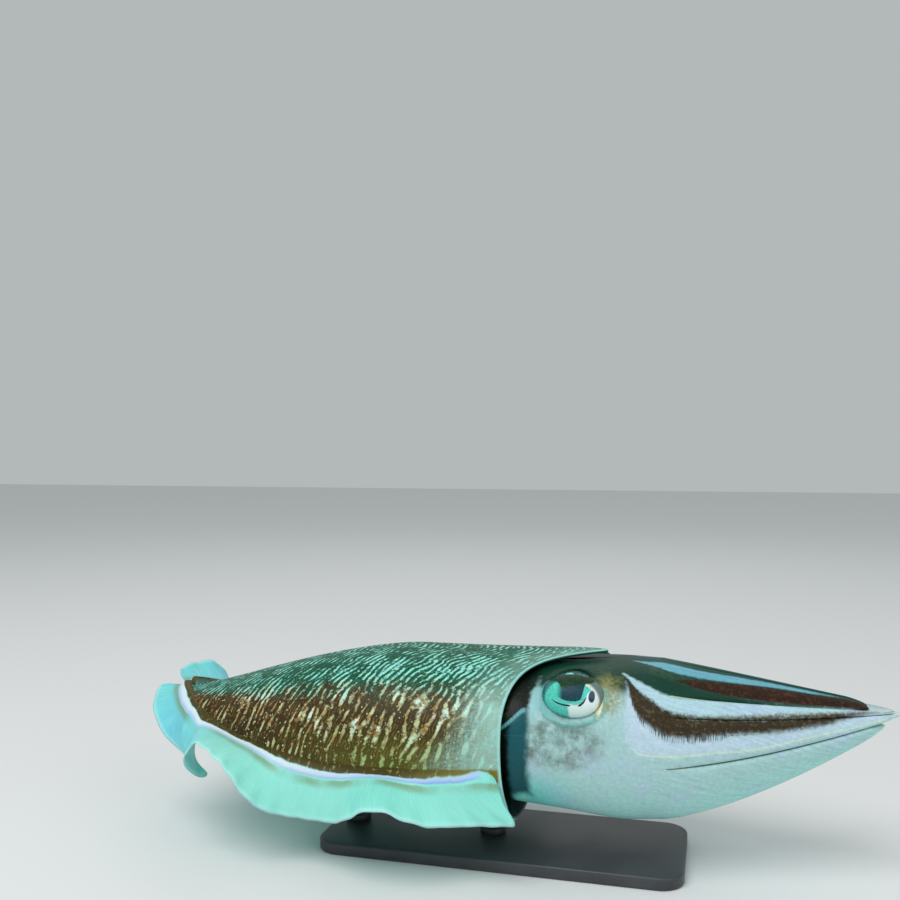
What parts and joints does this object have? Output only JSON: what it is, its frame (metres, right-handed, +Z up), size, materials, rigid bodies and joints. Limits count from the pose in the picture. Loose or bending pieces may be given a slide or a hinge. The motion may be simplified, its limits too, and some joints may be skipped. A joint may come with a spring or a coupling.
{
  "type": "pharaoh cuttlefish model on a display stand",
  "caption": "Life-size still model of a tiger-striped cuttlefish, hovering level with waved fins and its arms held together in a point, on a plain rod stand for display.",
  "frame": {"origin": "middle of the stand's flat underside", "axes": "+X from the tail towards the arm tips, +Z up, +Y to the animal's left"},
  "size_m": [0.5065, 0.1967, 0.1362],
  "materials": {
    "mantle_skin": "moist satin skin, dark olive brown with pale wavy cross stripes",
    "fin_skin": "thin translucent pale turquoise skin with a white and lilac-blue line along the root",
    "head_skin": "moist satin skin, dark behind the eye and pale turquoise below",
    "eye": "wet gloss, silvery iris with a dark W-shaped pupil",
    "funnel_skin": "moist satin dark green skin",
    "arm_skin": "moist satin skin with dark brown and pale blue-white lengthwise stripes",
    "stand": "satin dark grey paint"
  },
  "bodies": {
    "root": {"mantle": "mantle_skin", "fin_right": "fin_skin", "fin_left": "fin_skin", "head": "head_skin", "eye_right": "eye", "eye_left": "eye", "funnel": "funnel_skin", "arm_1_right": "arm_skin", "arm_1_left": "arm_skin", "arm_2_right": "arm_skin", "arm_2_left": "arm_skin", "arm_3_right": "arm_skin", "arm_3_left": "arm_skin", "arm_4_right": "arm_skin", "arm_4_left": "arm_skin", "stand_base": "stand", "stand_rod_rear": "stand", "stand_rod_front": "stand"}
  },
  "joints": []
}
